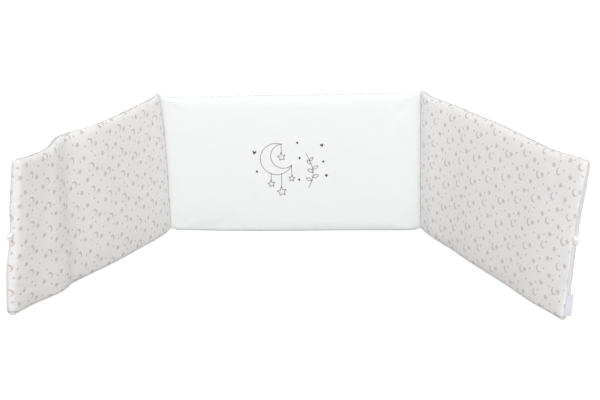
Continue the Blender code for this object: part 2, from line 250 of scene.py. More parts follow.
def half_thickness(pad, along, up):
    """Half the thickness of a pad, its edge rounding left out."""
    half = PAD_HALF + CROWN * fullness(along, PAD_LENGTH) * fullness(up, PAD_HEIGHT)
    for boxed, distance in ((pad.start_shape, along), (pad.end_shape, PAD_LENGTH - along)):
        if not boxed and distance < TAPER:
            share = math.sin(0.5 * math.pi * distance / TAPER)
            half = SEAM_HALF + (half - SEAM_HALF) * share
    return half


def pad_point(pad, along, up):
    """A point of a pad's middle layer, at a distance along it and up it."""
    share = along / PAD_LENGTH
    height = up / PAD_HEIGHT
    lean = pad.start.lean.lerp(pad.end.lean, share)
    point = pad.start.foot.lerp(pad.end.foot, share) + lean * height
    lift_low = from_rows(pad.outline, share, "bottom")
    lift_high = from_rows(pad.outline, share, "top")
    point.z = math.sqrt(PAD_HEIGHT ** 2 - lean.length_squared) * height
    point.z += lift_low + (lift_high - lift_low) * height - FLOOR_SQUASH * (1.0 - height)
    way, inside = pad_ways(pad)
    for upright, nearness in ((pad.start, 1.0 - share), (pad.end, share)):
        point.x += upright.ear * height ** EAR_RISE * nearness ** EAR_SPREAD
    for shape, sign, nearness in ((pad.start_shape, -1.0, 1.0 - share), (pad.end_shape, 1.0, share)):
        if shape:
            point += way * (sign * from_rows(shape, height, "out") * nearness ** END_SPREAD)
    push = 0.0
    for fold in pad.folds:
        depth = fold.bottom + (fold.top - fold.bottom) * height
        reach = fold.before if share < fold.along else fold.after
        push += depth * math.exp(-((share - fold.along) / reach) ** 2)
    return point + inside * (push * smooth_step(min(share, 1.0 - share) / STILL_SHARE))


Station = namedtuple("Station", "place swell flat")


def stations(length, round_low, round_high):
    """Where the cloth's points lie between two edges: their place on the middle layer, how far the edge's
    rounding has swelled there, and their place on the cloth laid flat."""
    edge = []
    for i in range(EDGE_STEPS):
        turn = 0.5 * math.pi * i / EDGE_STEPS
        edge.append(Station(EDGE_ROUND * (1.0 - math.cos(turn)), math.sin(turn),
                            EDGE_ROUND * (1.0 - 0.5 * math.pi + turn)))
    sewn = [Station(place, 1.0, place) for place in SEWN_PLACES]
    low = edge if round_low else sewn
    high = edge if round_high else sewn
    steps = round((length - 2 * EDGE_ROUND) / CLOTH_STEP)
    middle = [EDGE_ROUND + (length - 2 * EDGE_ROUND) * i / steps for i in range(steps + 1)]
    return (low + [Station(place, 1.0, place) for place in middle]
            + [Station(length - row.place, row.swell, length - row.flat) for row in reversed(high)])


def corner_places(pad, along, up):
    """Draws the outline's square outer corners in to round ones."""
    outer = PAD_LENGTH - along if pad.end_shape else along
    for from_edge, upper in ((PAD_HEIGHT - up, True), (up, False)):
        radius = pad.corners.top if upper else pad.corners.bottom
        if outer >= radius or from_edge >= radius:
            continue
        x = 1.0 - outer / radius
        y = 1.0 - from_edge / radius
        outer = radius * (1.0 - x * math.sqrt(1.0 - y * y / 2.0))
        from_edge = radius * (1.0 - y * math.sqrt(1.0 - x * x / 2.0))
        along = PAD_LENGTH - outer if pad.end_shape else outer
        up = PAD_HEIGHT - from_edge if upper else from_edge
    return along, up


def in_patch(pad, column, next_column, next_row):
    """Whether a face of the front lies where plain white cloth is drawn round a bottom outer corner."""
    outer = max(column.place, next_column.place)
    if pad.end_shape:
        outer = PAD_LENGTH - min(column.place, next_column.place)
    return pad.corners.bottom > 0.0 and outer < CORNER_PATCH and next_row.place < CORNER_PATCH_UP


def pad_cover(pad, before, after):
    """The closed cover of a pad. Each point's place on the flat cloth is in the attribute cloth_place, with
    1 for the front, -1 for the back and 0 for the seam between them. before and after are the inside
    directions of the pads sewn to its ends. The left pad's cloth was cut the other way up."""
    columns = stations(PAD_LENGTH, pad.start_shape, pad.end_shape)
    rows = stations(PAD_HEIGHT, True, True)
    way, inside = pad_ways(pad)
    way_up = -1.0 if pad.start_shape else 1.0
    mesh = bmesh.new()
    flat = mesh.verts.layers.float_vector.new("cloth_place")
    fronts = []
    backs = []
    for column in columns:
        neighbour, shape, sign = before, pad.start_shape, 1.0
        if column.place > PAD_LENGTH / 2:
            neighbour, shape, sign = after, pad.end_shape, -1.0
        across = inside
        shift = Vector()
        if neighbour is not None and min(column.place, PAD_LENGTH - column.place) < GAP:
            across = (inside + neighbour).normalized()
            shift = way * (sign * GAP / 2)
        fronts.append([])
        backs.append([])
        for row in rows:
            along, up = corner_places(pad, column.place, row.place)
            centre = pad_point(pad, along, up) + shift
            if shape:
                seam = from_rows(shape, up / PAD_HEIGHT, "seam")
                centre += across * (seam * (1.0 - column.swell))
            half = half_thickness(pad, along, up) * column.swell * row.swell
            front = mesh.verts.new(centre + across * half)
            back = front if half < 1e-6 else mesh.verts.new(centre - across * half)
            for vert, side in ((front, 1.0), (back, -1.0 if back is not front else 0.0)):
                vert[flat] = (way_up * column.flat, way_up * row.flat, side)
                vert.co.z = max(0.0, vert.co.z)
            fronts[-1].append(front)
            backs[-1].append(back)
    for i in range(len(columns) - 1):
        for j in range(len(rows) - 1):
            face = mesh.faces.new((fronts[i][j], fronts[i + 1][j], fronts[i + 1][j + 1], fronts[i][j + 1]))
            if in_patch(pad, columns[i], columns[i + 1], rows[j + 1]):
                face.material_index = 2
            face = mesh.faces.new((backs[i][j], backs[i][j + 1], backs[i + 1][j + 1], backs[i + 1][j]))
            face.material_index = 1
    for neighbour, i in ((before, 0), (after, -1)):
        for j in range(len(rows) - 1) if neighbour else ():
            corners = [fronts[i][j], fronts[i][j + 1], backs[i][j + 1], backs[i][j]]
            mesh.faces.new(list(dict.fromkeys(corners)))
    bmesh.ops.recalc_face_normals(mesh, faces=mesh.faces)
    return mesh


# Cotton percale: a fine, even plain weave with a dry, matt hand. The eye gets an even white with hardly any
# sheen, and a crossing of threads only close up.
WHITE_HEX = "F3F5F5"
# Painted shade: the side pads' back cloth is the same white percale as the corner patches, drawn greyer to
# stand in for the shade on their outer ends.
SHADED_BACKING_HEX = "E6E7E8"
PRINT_GROUND_HEX = "F4F2F0"
THREAD = 0.0006  # thread spacing, drawn at twice the real one so that it shows close up
WEAVE_STRENGTH = 0.25
WEAVE_DEPTH = 0.0002
PAINTED_SHADE_KEPT = 0.62  # painted shade: what is left of the cloth's brightness down in a seam, painted into its colour
CRUMPLE_SIZE = 0.020  # of the soft dents that washing and handling leave
CRUMPLE_STRENGTH = 0.35
CRUMPLE_DEPTH = 0.0015


def node(tree, kind, inputs=None, **settings):
    """Adds a node with its settings, fills its inputs with values or links, and returns its first output."""
    made = tree.nodes.new(kind)
    for name, value in settings.items():
        setattr(made, name, value)
    for key, value in (inputs or {}).items():
        if isinstance(value, bpy.types.NodeSocket):
            tree.links.new(value, made.inputs[key])
        else:
            made.inputs[key].default_value = value
    return made.outputs[0] if made.outputs else None


def weave_height(tree, place):
    """The height of a plain weave at a place on the flat cloth: over and under, thread by thread."""
    split = node(tree, "ShaderNodeSeparateXYZ", {0: place}).node
    waves = []
    for axis in ("X", "Y"):
        angle = node(tree, "ShaderNodeMath", {0: split.outputs[axis], 1: math.pi / THREAD},
                     operation="MULTIPLY")
        waves.append(node(tree, "ShaderNodeMath", {0: angle}, operation="SINE"))
    return node(tree, "ShaderNodeMath", {0: waves[0], 1: waves[1]}, operation="MULTIPLY")


def percale(name, ground_hex, slope=None):
    """Percale of a ground colour, printed if a slope is given for its print, with painted shade down in its
    seams.
    """
    material, tree, shader = new_material(name, {"Roughness": 0.9, "Specular IOR Level": 0.25})
    place = node(tree, "ShaderNodeAttribute", attribute_name="cloth_place").node.outputs["Vector"]
    colour = from_hex(ground_hex)[:3]
    if slope is not None:
        colour = add_print(tree, place, ground_hex, slope)
    # Painted shade: the colour is darkened down in each seam, where shade falls.
    painted_seam_shade = node(tree, "ShaderNodeAttribute", attribute_name="painted_seam_shade").node.outputs["Fac"]
    shade = node(tree, "ShaderNodeMapRange", {"Value": painted_seam_shade, "To Min": 1.0, "To Max": PAINTED_SHADE_KEPT})
    colour = node(tree, "ShaderNodeVectorMath", {0: colour, 1: shade}, operation="MULTIPLY")
    tree.links.new(colour, shader.inputs["Base Color"])
    weave = weave_height(tree, place)
    crumple = node(tree, "ShaderNodeTexNoise",
                   {"Vector": place, "Scale": 1.0 / CRUMPLE_SIZE, "Detail": 2.0})
    bump = node(tree, "ShaderNodeBump",
                {"Height": crumple, "Strength": CRUMPLE_STRENGTH, "Distance": CRUMPLE_DEPTH})
    bump = node(tree, "ShaderNodeBump",
                {"Height": weave, "Strength": WEAVE_STRENGTH, "Distance": WEAVE_DEPTH, "Normal": bump})
    tree.links.new(bump, shader.inputs["Normal"])
    return material


# The print, in millimetres on its own repeat: crescent moons that open to one side, each with a star or a
# dot at its mouth, and loose stars and dots between. It runs a little off the straight of the cloth.
REPEAT_MM = (112.0, 107.0, 1.0)  # along the cloth, up it, and through it, where nothing repeats
PRINT_SLOPE = math.radians(-5.3)
LEFT_PRINT_SLOPE = math.radians(2.5)  # on the left pad, where the cloth is the other way up
MOON_MM = 8.2  # outer radius
MOON_HOLLOW_MM = 6.7  # radius of the round that is taken out of it
MOON_SHIFT_MM = 3.3  # how far that round lies towards the moon's mouth
MOON_MOUTH = math.radians(36)
STAR_MM = 6.9  # from its middle to a point
STAR_WAIST = 0.54  # its inner corners, as a share of that
DOT_MM = 2.5
INK_EDGE_MM = 0.8  # how far the ink feathers into the threads
WORN_SCALE = 0.35  # of the noise that thins the ink, to a millimetre
WORN_FROM = 0.3  # where the noise leaves least ink, and from where on it leaves all
WORN_TO = 0.7
WORN_LEAST = 0.6  # of the ink
INKS = {"rose": "D4C2C0", "taupe": "CDC4C2", "sand": "CCC0BB"}
Motifs = namedtuple("Motifs", "kind ink places")
MOTIFS = (
    Motifs("moon", "rose", ((0.0, 53.5), (-56.0, 79.5))),
    Motifs("moon", "taupe", ((-56.0, 26.0),)),
    Motifs("moon", "sand", ((0.0, 0.0),)),
    Motifs("star", "rose", ((-35.5, 57.0), (-75.0, 34.5))),
    Motifs("star", "taupe", ((11.5, 4.0), (16.5, 62.0), (-21.0, 24.5), (-20.5, 83.5), (-41.5, 1.0),
                             (-72.5, 90.0))),
    Motifs("dot", "rose", ((-8.0, 21.0), (-4.5, 75.0), (-58.5, 47.5), (-90.5, 93.5))),
    Motifs("dot", "taupe", ((-16.5, 3.5), (8.5, 36.5), (-42.0, 32.5), (-23.5, 62.0), (-69.5, 60.0),
                            (-48.5, 88.5), (-58.0, 101.5), (-83.0, 14.0))),
)


def motif_distance(tree, place, kind, x, y):
    """How far a place is outside the motif at x, y, in millimetres: below zero where it is on the motif."""
    half = [size / 2 for size in REPEAT_MM]
    local = node(tree, "ShaderNodeVectorMath", {0: place, 1: (x, y, 0.0)}, operation="SUBTRACT")
    local = node(tree, "ShaderNodeVectorMath", {0: local, 1: half, 2: [-size for size in half]},
                 operation="WRAP")
    radius = node(tree, "ShaderNodeVectorMath", {0: local}, operation="LENGTH").node.outputs["Value"]
    if kind == "dot":
        return node(tree, "ShaderNodeMath", {0: radius, 1: DOT_MM}, operation="SUBTRACT")
    if kind == "moon":
        mouth = (MOON_SHIFT_MM * math.cos(MOON_MOUTH), MOON_SHIFT_MM * math.sin(MOON_MOUTH), 0.0)
        outside = node(tree, "ShaderNodeMath", {0: radius, 1: MOON_MM}, operation="SUBTRACT")
        hollow = node(tree, "ShaderNodeVectorMath", {0: local, 1: mouth}, operation="DISTANCE")
        hollow = hollow.node.outputs["Value"]
        inside = node(tree, "ShaderNodeMath", {0: MOON_HOLLOW_MM, 1: hollow}, operation="SUBTRACT")
        return node(tree, "ShaderNodeMath", {0: outside, 1: inside}, operation="MAXIMUM")
    fifth = math.pi / 5
    corner = Vector((math.cos(fifth), math.sin(fifth))) * STAR_WAIST - Vector((1.0, 0.0))
    facing = math.atan2(-corner.x, corner.y)
    split = node(tree, "ShaderNodeSeparateXYZ", {0: local}).node.outputs
    value = node(tree, "ShaderNodeMath", {0: split["X"], 1: split["Y"]}, operation="ARCTAN2")
    for operation, *others in (("WRAP", fifth, -fifth), ("ABSOLUTE",), ("SUBTRACT", facing), ("COSINE",),
                               ("MULTIPLY", radius), ("SUBTRACT", STAR_MM * math.cos(facing))):
        value = node(tree, "ShaderNodeMath", dict(enumerate([value, *others])), operation=operation)
    return value


def add_print(tree, place, ground_hex, slope):
    """The cloth's colour with its print: each ink's motifs over the ground, here and there a little worn."""
    turned = node(tree, "ShaderNodeMapping", {"Vector": place, "Rotation": (0.0, 0.0, -slope),
                                              "Scale": (1000.0, 1000.0, 0.0)})
    fade = node(tree, "ShaderNodeTexNoise", {"Vector": turned, "Scale": WORN_SCALE, "Detail": 2.0})
    worn = node(tree, "ShaderNodeMapRange", {"Value": fade, "From Min": WORN_FROM, "From Max": WORN_TO,
                                             "To Min": WORN_LEAST, "To Max": 1.0})
    colour = from_hex(ground_hex)
    for ink, ink_hex in INKS.items():
        nearest = max(REPEAT_MM)
        for row in MOTIFS:
            for x, y in row.places if row.ink == ink else ():
                distance = motif_distance(tree, turned, row.kind, x, y)
                nearest = node(tree, "ShaderNodeMath", {0: nearest, 1: distance}, operation="MINIMUM")
        cover = node(tree, "ShaderNodeMapRange", {"Value": nearest, "From Min": INK_EDGE_MM,
                                                  "From Max": -INK_EDGE_MM})
        cover = node(tree, "ShaderNodeMath", {0: cover, 1: worn}, operation="MULTIPLY")
        colour = node(tree, "ShaderNodeMix", {"Factor": cover, 6: colour, 7: from_hex(ink_hex)},
                      data_type="RGBA").node.outputs[2]
    return colour


# The filling swells each cover against its seams. The seams, the sewn ends and the strip on the floor hold
# still, and the cloth beside a seam has a little ease, which gathers into small puckers.
SWELL_FRAMES = 18
SWELL_CAP = 0.0018
LEAST_WEIGHT = 0.001
HELD_SEAM = 0.001  # what lies nearer than this to an edge seam, a sewn end or the floor is held
HELD_SEWN = 0.004
HELD_FLOOR = 0.0004
EASE_REACH = 0.020
FILLED_CLOTH = {"quality": 6, "mass": 0.2, "tension_stiffness": 20.0, "compression_stiffness": 20.0,
                "shear_stiffness": 5.0, "bending_stiffness": 0.6, "air_damping": 2.0, "use_pressure": True,
                "uniform_pressure_force": 0.35, "vertex_group_mass": "held", "vertex_group_shrink": "eased",
                "shrink_min": 0.0, "shrink_max": -0.035}


def evaluated_mesh(thing, keep_layers=False):
    """The mesh that an object's modifiers make of it, as a new mesh."""
    bpy.context.view_layer.update()
    graph = bpy.context.evaluated_depsgraph_get()
    return bpy.data.meshes.new_from_object(
        thing.evaluated_get(graph), preserve_all_data_layers=keep_layers, depsgraph=graph)


def swell(cover, held, eased):
    """Blows a cover up with Blender's cloth simulation and keeps the result as its own mesh. held and eased
    are the weights of its points, from 0 to 1."""
    for name, weights in (("held", held), ("eased", eased)):
        group = cover.vertex_groups.new(name=name)
        for index, weight in enumerate(weights):
            if weight > LEAST_WEIGHT:
                group.add([index], weight, "REPLACE")
    modifier = cover.modifiers.new("filling", "CLOTH")
    for name, value in FILLED_CLOTH.items():
        setattr(modifier.settings, name, value)
    modifier.settings.effector_weights.gravity = 0.0
    modifier.collision_settings.use_collision = False
    modifier.point_cache.frame_start = 1
    modifier.point_cache.frame_end = SWELL_FRAMES
    for frame_number in range(1, SWELL_FRAMES + 1):
        bpy.context.scene.frame_set(frame_number)
    swelled = evaluated_mesh(cover)
    cover.modifiers.clear()
    cover.vertex_groups.clear()
    bpy.context.scene.frame_set(1)
    for vertex, new in zip(cover.data.vertices, swelled.vertices):
        move = new.co - vertex.co
        if move.length > SWELL_CAP:
            move.length = SWELL_CAP
        vertex.co += move
        vertex.co.z = max(0.0, vertex.co.z)
    bpy.data.meshes.remove(swelled)


# What sewing leaves in the cloth: a groove at each seam, puckers across it, the wadding's slight unevenness,
# and the creases of a bumper that was packed folded.
SEAM_FLAT = EDGE_ROUND * (0.5 * math.pi - 1.0)  # from the pad's edge out to the seam, on flat cloth
GROOVE_DEPTH = 0.0024
GROOVE_HALF = 0.0016
GATHER_STEP = 0.014  # run over which a seam is drawn in more or less deep
GATHER_LEAST = 0.75
GATHER_MORE = 0.7
GATHER_SEED = 3.7
TOP_RUN = 3.0  # the top seam and an outer end's run on from here, so that they gather unlike
END_RUN = 5.0
END_GROOVE = 0.35  # the outer ends' seams, as a share of the others' depth
PATCH_GROOVE = 0.8  # the same round the corner patches, and at the sewn ends, where it gives painted shade only and no groove
SEWN_PAINTED_SHADE = 0.1
KNOB_RISE = 0.0012  # of the white cloth pinched at the bottom outer corners
Relief = namedtuple("Relief", "depth step run reach seed")  # step across its waves, and run along them
PUCKER = Relief(0.0015, 0.0085, 0.05, 0.012, 1.0)  # across the edge seams
TUCK = Relief(0.0012, 0.021, 0.06, 0.026, 3.0)  # across the sewn ends
LUMP = Relief(0.0007, 0.045, 0.045, 0.02, 5.0)  # of the wadding; reach: from the seams
TUCK_START = 0.006  # over which the tucks start, and the lumps, from a sewn end
LUMP_START = 0.03
FRONT_SEED = 7.0  # by which the reliefs' seeds are multiplied on the front, and on the back
BACK_SEED = 19.0
Crease = namedtuple("Crease", "x0 y0 x1 y1 half depth")  # on the left pad's front, along it and up it
CREASES = (
    Crease(0.213, 0.370, 0.190, 0.160, 0.020, 0.0026),
    Crease(0.188, 0.070, 0.202, -0.020, 0.014, 0.0016),
    Crease(0.140, 0.360, 0.128, 0.100, 0.030, -0.0040),
    Crease(0.262, 0.360, 0.296, 0.235, 0.030, -0.0022),
    Crease(-0.004, 0.129, 0.066, 0.106, 0.0032, 0.0012),
    Crease(0.002, 0.070, 0.078, 0.040, 0.0032, 0.0012),
)


def place_on_pad(pad, place):
    """A point's place along and up its pad, from its place on the flat cloth."""
    return (-place[0], -place[1]) if pad.start_shape else (place[0], place[1])


def seam_distances(pad, along, up):
    """Over the cloth: the distance to the nearest edge seam, how far along that seam it is and how deep the
    seam lies, and the distance to the nearest sewn end."""
    edges = [(up + SEAM_FLAT, along, 1.0), (PAD_HEIGHT + SEAM_FLAT - up, along + TOP_RUN, 1.0)]
    ends = []
    for boxed, distance in ((pad.start_shape, along), (pad.end_shape, PAD_LENGTH - along)):
        if boxed:
            edges.append((distance + SEAM_FLAT, up + END_RUN, END_GROOVE))
        else:
            ends.append(distance)
    return min(edges), min(ends)


def crease_depth(crease, along, up):
    """How deep a crease is at a place: a soft trough along a line, run out at both ends."""
    line = Vector((crease.x1 - crease.x0, crease.y1 - crease.y0))
    place = Vector((along - crease.x0, up - crease.y0))
    share = place.dot(line) / line.length_squared
    if not 0.0 < share < 1.0:
        return 0.0
    off = (place - line * share).length
    return crease.depth * math.sqrt(4.0 * share * (1.0 - share)) * math.exp(-(off / crease.half) ** 2)


def cloths_at_points(data):
    """For each point of a cover, which cloths meet there: 0 the front's, 1 the back's, 2 the corner patch."""
    meets = [set() for _ in data.vertices]
    for face in data.polygons:
        for index in face.vertices:
            meets[index].add(face.material_index)
    return meets


def settle_cloth(pad, cover):
    """Moves a cover's points in and out by its grooves, puckers, tucks, lumps and creases, and stores how
    deep in a seam each point lies, from 0 to 1, as the attribute painted_seam_shade: painted shade there."""
    data = cover.data
    painted_seam_shade = data.attributes.new("painted_seam_shade", "FLOAT", "POINT").data
    cloths = cloths_at_points(data)
    places = data.attributes["cloth_place"].data
    normals = [vertex.normal.copy() for vertex in data.vertices]
    for vertex, normal, item in zip(data.vertices, normals, places):
        along, up = place_on_pad(pad, item.vector)
        side = item.vector[2]
        (from_seam, run, seam_depth), from_sewn = seam_distances(pad, along, up)
        seed = Vector((0.0, 0.0, FRONT_SEED if side > 0.0 else BACK_SEED))
        gather = GATHER_LEAST + GATHER_MORE * noise.noise(Vector((run / GATHER_STEP, 0.0, GATHER_SEED)))
        depth = seam_depth * gather * math.exp(-(from_seam / GROOVE_HALF) ** 2)
        if 2 in cloths[vertex.index] and len(cloths[vertex.index]) > 1:
            depth = max(depth, PATCH_GROOVE)
        # Painted shade only: how dark the colour is painted down in a seam, and more weakly at a sewn end.
        painted_seam_shade[vertex.index].value = max(depth, SEWN_PAINTED_SHADE * math.exp(-(from_sewn / GROOVE_HALF) ** 2))
        push = -GROOVE_DEPTH * depth
        if cloths[vertex.index] == {2}:
            push += KNOB_RISE
        pucker = noise.noise(Vector((run / PUCKER.step, from_seam / PUCKER.run, 0.0)) + seed * PUCKER.seed)
        push += PUCKER.depth * pucker * math.exp(-from_seam / PUCKER.reach)
        tuck = noise.noise(Vector((from_sewn / TUCK.run, up / TUCK.step, 0.0)) + seed * TUCK.seed)
        push += TUCK.depth * tuck * math.exp(-from_sewn / TUCK.reach) * min(1.0, from_sewn / TUCK_START)
        lump = noise.noise(Vector((along / LUMP.run, up / LUMP.step, 0.0)) + seed * LUMP.seed)
        push += LUMP.depth * lump * min(1.0, from_sewn / LUMP_START, from_seam / LUMP.reach)
        if pad.name == "pad_left" and side > 0.0:
            push -= sum(crease_depth(crease, along, up) for crease in CREASES)
        vertex.co += normal * push
        vertex.co.z = max(0.0, vertex.co.z)


def held_and_eased(pad, cover):
    """The two weights of each point of a cover before it is filled."""
    held = []
    eased = []
    for vertex, item in zip(cover.data.vertices, cover.data.attributes["cloth_place"].data):
        along, up = place_on_pad(pad, item.vector)
        (from_seam, _, _), from_sewn = seam_distances(pad, along, up)
        still = from_seam < HELD_SEAM or from_sewn < HELD_SEWN or vertex.co.z < HELD_FLOOR
        held.append(1.0 if still else 0.0)
        eased.append(math.exp(-min(from_seam, from_sewn) / EASE_REACH))
    return held, eased


def refine(cover):
    """One subdivision, kept as the cover's own mesh."""
    cover.modifiers.new("finer", "SUBSURF")
    finer = evaluated_mesh(cover, keep_layers=True)
    cover.modifiers.clear()
    coarse = cover.data
    cover.data = finer
    bpy.data.meshes.remove(coarse)
    finer.name = cover.name
    finer.shade_smooth()


white_percale = percale("white_percale", WHITE_HEX)
# The side pads' back cloth: white percale painted greyer, as painted shade.
shaded_backing_percale = percale("shaded_backing_percale", SHADED_BACKING_HEX)
turned_print = percale("printed_percale_turned", PRINT_GROUND_HEX, LEFT_PRINT_SLOPE)
straight_print = percale("printed_percale", PRINT_GROUND_HEX, PRINT_SLOPE)
CLOTHS = {  # of the front, the back and the corner patches
    "pad_left": (turned_print, shaded_backing_percale, white_percale),
    "pad_middle": (white_percale, white_percale, white_percale),
    "pad_right": (straight_print, shaded_backing_percale, white_percale),
}
insides = [pad_ways(pad)[1] for pad in PADS]
covers = {}
for index, pad in enumerate(PADS):
    before = insides[index - 1] if index > 0 else None
    after = insides[index + 1] if index + 1 < len(PADS) else None
    cover = add_piece(pad.name + "_cover", pad_cover(pad, before, after), CLOTHS[pad.name])
    swell(cover, *held_and_eased(pad, cover))
    refine(cover)
    settle_cloth(pad, cover)
    covers[pad.name] = cover
    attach(cover, "root")
    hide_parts(pad.name)

# ---------------------------------------------------------------------------------------------------------
# The joining seams: each upright seam between two pads is closed with white polyester sewing thread, laid
# in short, slanting ladder stitches from pad to pad, on the inside and on the outside.
Stitch = namedtuple("Stitch", "pitch length thread arch turn unevenness")  # turn: off its line, degrees
SeamSide = namedtuple("SeamSide", "name sign lift stitch")  # lift: above the bottom of the groove
SEAM_SIDES = (
    SeamSide("inside", 1.0, 0.0019, Stitch(0.0048, 0.0034, 0.0007, 0.0007, 72.0, 5.0)),
    SeamSide("outside", -1.0, 0.0003, Stitch(0.0048, 0.0042, 0.0007, 0.0007, 72.0, 5.0)),
)
SEAM_POINTS = 31
SEAM_THREAD_HEX = "F4F4F2"
THREAD_SOCKETS = {"Roughness": 0.6, "Sheen Weight": 0.1}
STITCH_ROUND = 6  # steps along a stitch, and round its thread
STITCH_SINK = -0.6  # where a stitch's ends lie in the cloth, in threads
STITCH_SEED = 4
WAVE_PERIOD = 0.31  # of a wave texture at scale 1, in metres
Ribs = namedtuple("Ribs", "spacing bands wobble darkest strength depth")  # darkest: what the colour keeps in the grooves, as painted shade
THREAD_PLIES = Ribs(0.0012, "DIAGONAL", 1.0, 0.82, 0.4, 0.0002)


def add_curves(name, lines):
    """A curve object with one open run of straight pieces for each line of points."""
    data = bpy.data.curves.new(name, "CURVE")
    data.dimensions = "3D"
    for line in lines:
        run = data.splines.new("POLY")
        run.points.add(len(line) - 1)
        for point, place in zip(run.points, line):
            point.co = (*place, 1.0)
    return add_object(name, data)


def stitch_tree():
    """A Geometry Nodes tree that lays small arcs of thread one after another along a curve."""
    tree = bpy.data.node_groups.new("thread_stitches", "GeometryNodeTree")
    tree.interface.new_socket("Geometry", in_out="OUTPUT", socket_type="NodeSocketGeometry")
    wanted = {"Geometry": "Geometry", "Pitch": "Float", "Length": "Float", "Thread": "Float", "Arch": "Float",
              "Turn": "Float", "Unevenness": "Float", "Facing": "Vector", "Material": "Material"}
    for name, kind in wanted.items():
        tree.interface.new_socket(name, in_out="INPUT", socket_type="NodeSocket" + kind)
    given = node(tree, "NodeGroupInput").node.outputs
    line = node(tree, "GeometryNodeResampleCurve", {"Curve": given["Geometry"], "Length": given["Pitch"]},
                mode="LENGTH")
    heading = node(tree, "FunctionNodeAlignRotationToVector",
                   {"Vector": node(tree, "GeometryNodeInputTangent")}, axis="X")
    heading = node(tree, "FunctionNodeAlignRotationToVector",
                   {"Rotation": heading, "Vector": given["Facing"]}, axis="Z", pivot_axis="X")
    least = node(tree, "ShaderNodeMath", {0: given["Turn"], 1: given["Unevenness"]}, operation="SUBTRACT")
    most = node(tree, "ShaderNodeMath", {0: given["Turn"], 1: given["Unevenness"]}, operation="ADD")
    turn = node(tree, "FunctionNodeRandomValue", {2: least, 3: most, "Seed": STITCH_SEED},
                data_type="FLOAT").node.outputs[1]
    turn = node(tree, "ShaderNodeCombineXYZ", {"Z": turn})
    turn = node(tree, "FunctionNodeEulerToRotation", {"Euler": turn})
    heading = node(tree, "FunctionNodeRotateRotation", {"Rotation": heading, "Rotate By": turn},
                   rotation_space="LOCAL")
    sink, radius, half, minus_half = (
        node(tree, "ShaderNodeMath", {0: given[whole], 1: share}, operation="MULTIPLY")
        for whole, share in (("Thread", STITCH_SINK), ("Thread", 0.5), ("Length", 0.5), ("Length", -0.5)))
    start = node(tree, "ShaderNodeCombineXYZ", {"X": minus_half, "Z": sink})
    top = node(tree, "ShaderNodeCombineXYZ", {"Z": given["Arch"]})
    end = node(tree, "ShaderNodeCombineXYZ", {"X": half, "Z": sink})
    arc = node(tree, "GeometryNodeCurveQuadraticBezier",
               {"Resolution": STITCH_ROUND, "Start": start, "Middle": top, "End": end})
    ring = node(tree, "GeometryNodeCurvePrimitiveCircle", {"Resolution": STITCH_ROUND, "Radius": radius})
    stitch = node(tree, "GeometryNodeCurveToMesh",
                  {"Curve": arc, "Profile Curve": ring, "Fill Caps": True})
    stitch = node(tree, "GeometryNodeSetShadeSmooth", {"Geometry": stitch})
    row = node(tree, "GeometryNodeInstanceOnPoints",
               {"Points": line, "Instance": stitch, "Rotation": heading})
    row = node(tree, "GeometryNodeRealizeInstances", {"Geometry": row})
    row = node(tree, "GeometryNodeSetMaterial", {"Geometry": row, "Material": given["Material"]})
    node(tree, "NodeGroupOutput", {"Geometry": row})
    return tree


def as_mesh(thing, name):
    """The mesh that an object's modifiers make, as a new object in its place."""
    data = evaluated_mesh(thing)
    thing.modifiers.clear()
    bpy.data.objects.remove(thing)
    data.name = name
    return add_object(name, data)


def stitch_along(name, lines, stitch, facing, material):
    """Rows of stitches along lines, as one mesh."""
    curves = add_curves(name + "_lines", lines)
    modifier = curves.modifiers.new("stitches", "NODES")
    modifier.node_group = thread_stitches
    given = {"Pitch": stitch.pitch, "Length": stitch.length, "Thread": stitch.thread, "Arch": stitch.arch,
             "Turn": math.radians(stitch.turn), "Unevenness": math.radians(stitch.unevenness),
             "Facing": facing, "Material": material}
    for item in thread_stitches.interface.items_tree:
        if item.in_out == "INPUT" and item.name in given:
            modifier[item.identifier] = given[item.name]
    return as_mesh(curves, name)


def ribbed_material(name, hex_colour, ribs, sockets):
    """A textile of plies or ribs that lie side by side, with painted shade: its colour darker in the grooves
    between them.
    """
    material, tree, shader = new_material(name, sockets)
    place = node(tree, "ShaderNodeTexCoord").node.outputs["Object"]
    waves = node(tree, "ShaderNodeTexWave", {"Vector": place, "Scale": WAVE_PERIOD / ribs.spacing,
                                             "Distortion": ribs.wobble}, bands_direction=ribs.bands)
    shade = node(tree, "ShaderNodeMapRange", {"Value": waves, "To Min": ribs.darkest, "To Max": 1.0})
    colour = node(tree, "ShaderNodeVectorMath", {0: from_hex(hex_colour)[:3], 1: shade}, operation="MULTIPLY")
    tree.links.new(colour, shader.inputs["Base Color"])
    bump = node(tree, "ShaderNodeBump", {"Height": waves, "Strength": ribs.strength, "Distance": ribs.depth})
    tree.links.new(bump, shader.inputs["Normal"])
    return material


# Spun polyester sewing thread: twisted plies, white and nearly matt. They are drawn coarser than they are,
# so that they show.
sewing_thread = ribbed_material("white_polyester_thread", SEAM_THREAD_HEX, THREAD_PLIES, THREAD_SOCKETS)
thread_stitches = stitch_tree()
middle = PADS[1]
middle_inside = insides[1]
for seam_name, along, neighbour_inside in (("left", 0.0, insides[0]), ("right", PAD_LENGTH, insides[2])):
    across = (middle_inside + neighbour_inside).normalized()
    for side in SEAM_SIDES:
        line = []
        for step in range(SEAM_POINTS):
            up = EDGE_ROUND / 2 + (PAD_HEIGHT - EDGE_ROUND) * step / (SEAM_POINTS - 1)
            line.append(pad_point(middle, along, up) + across * (side.sign * (SEAM_HALF + side.lift)))
        row = stitch_along(f"{seam_name}_seam_stitches_{side.name}", [line], side.stitch,
                           across * side.sign, sewing_thread)
        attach(row, "root")

